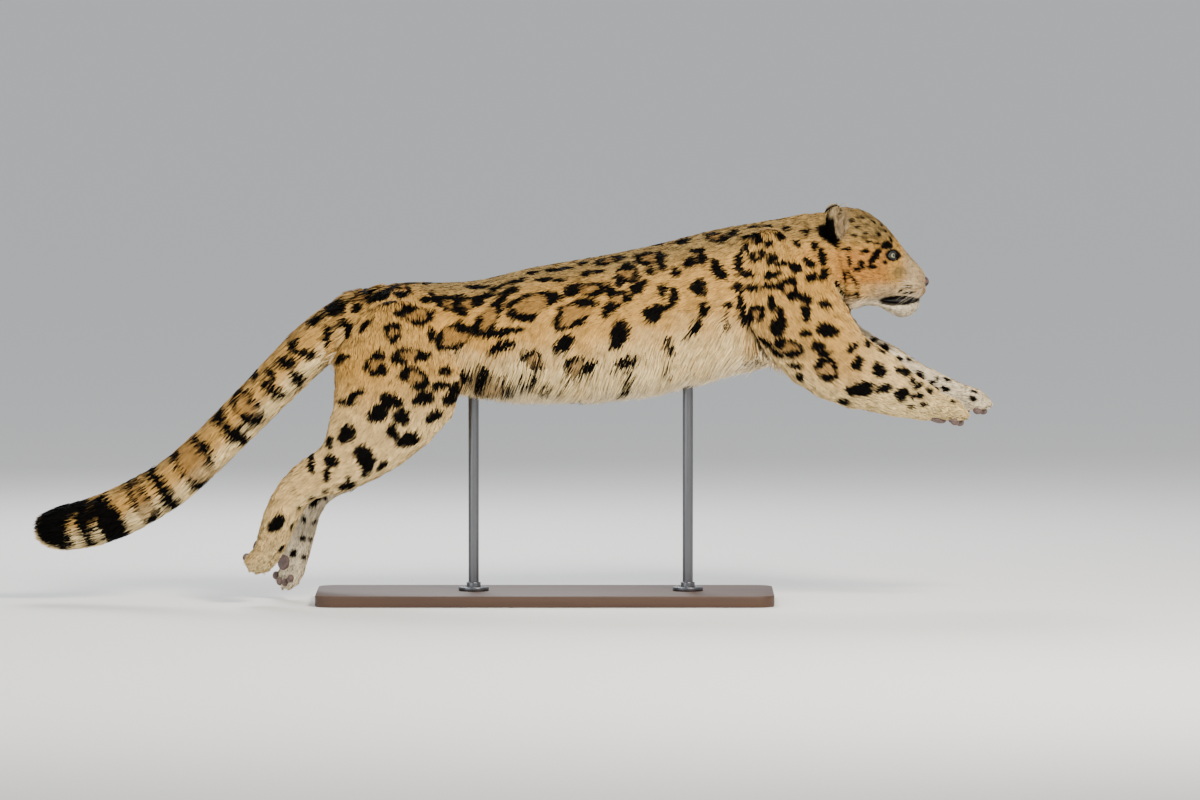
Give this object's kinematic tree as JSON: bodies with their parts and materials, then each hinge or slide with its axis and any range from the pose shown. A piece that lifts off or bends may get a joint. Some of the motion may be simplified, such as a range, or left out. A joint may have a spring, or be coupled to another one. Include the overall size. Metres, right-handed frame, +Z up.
{
  "type": "leaping snow leopard display model",
  "caption": "Life-size snow leopard in mid leap, forelegs reaching, tail trailing, on a plain base with two rods.",
  "frame": {"origin": "centre of the underside of the stand's base", "axes": "+X the way the animal leaps, towards its nose; +Y to the animal's left; +Z up"},
  "size_m": [2.052, 0.34, 0.8331],
  "materials": {
    "coat": "dense soft fur, ochre with dark rosettes and a white underside",
    "nose_leather": "bare damp nose leather",
    "eye": "clear glass eye with a pale green-grey iris",
    "stand_wood": "dark satin wood",
    "stand_steel": "satin"
  },
  "bodies": {
    "root": {"torso": "coat", "neck": "coat", "head": "coat", "jaw": "coat", "nose": "nose_leather", "eye_right": "eye", "eye_left": "eye", "ear_right": "coat", "ear_left": "coat", "foreleg_upper_right": "coat", "foreleg_lower_right": "coat", "forepaw_right": "coat", "thigh_right": "coat", "shank_right": "coat", "hindfoot_right": "coat", "hindpaw_right": "coat", "foreleg_upper_left": "coat", "foreleg_lower_left": "coat", "forepaw_left": "coat", "thigh_left": "coat", "shank_left": "coat", "hindfoot_left": "coat", "hindpaw_left": "coat", "tail_root": "coat", "tail_upper": "coat", "tail_lower": "coat", "tail_tip": "coat", "stand_base": "stand_wood", "stand_rod_front": "stand_steel", "stand_rod_rear": "stand_steel"}
  },
  "joints": []
}
